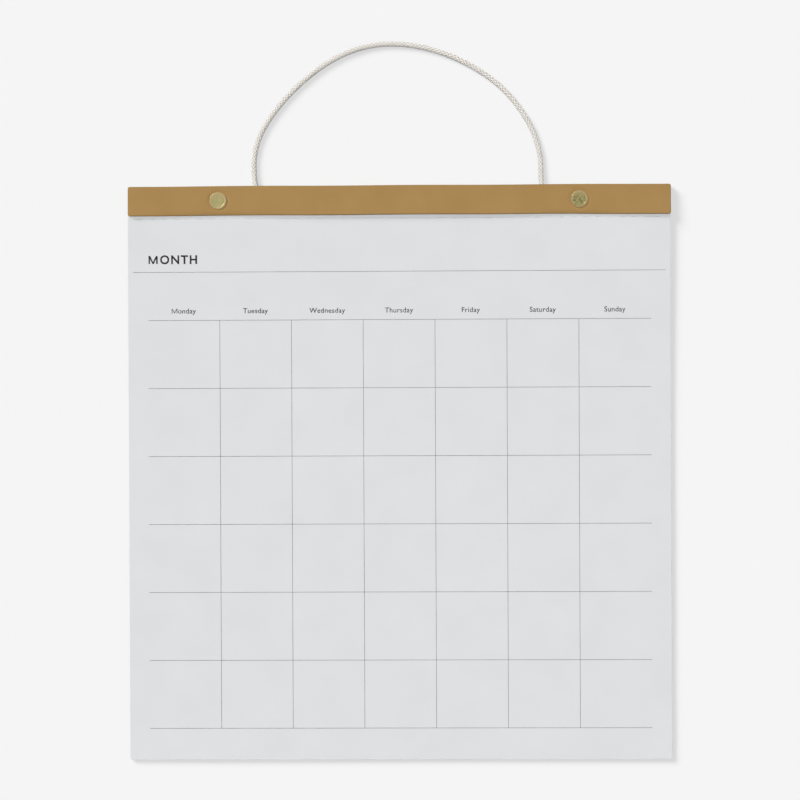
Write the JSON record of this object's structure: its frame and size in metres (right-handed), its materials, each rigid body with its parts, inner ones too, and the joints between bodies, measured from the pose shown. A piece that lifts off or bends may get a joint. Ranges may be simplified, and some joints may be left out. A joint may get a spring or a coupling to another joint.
{
  "type": "wall calendar",
  "caption": "Undated month calendar: a block of tear-off pages on a board, bound along the top between leather strips with brass screw posts, with a cotton cord to hang it by.",
  "frame": {"origin": "middle of the sheets' outline, on the surface that the calendar lies on", "axes": "+X to the right across the page, +Y up the page towards the cord, +Z out of the printed face"},
  "size_m": [0.324, 0.429, 0.0066],
  "materials": {
    "leather": "smooth matte vegetable-tanned leather with rubbed edges",
    "page_paper": "uncoated white writing paper",
    "greyboard": "raw greyboard",
    "brass": "lightly brushed brass",
    "cotton_cord": "undyed twisted cotton",
    "print_ink": "thin matte print on the top page"
  },
  "bodies": {
    "root": {"front_strip": "leather", "back_strip": "leather", "page_block": "page_paper", "backing_board": "greyboard", "binding_post_left": "brass", "binding_post_right": "brass", "binding_screw_left": "brass", "binding_screw_right": "brass", "hanging_cord": "cotton_cord"}
  },
  "joints": []
}
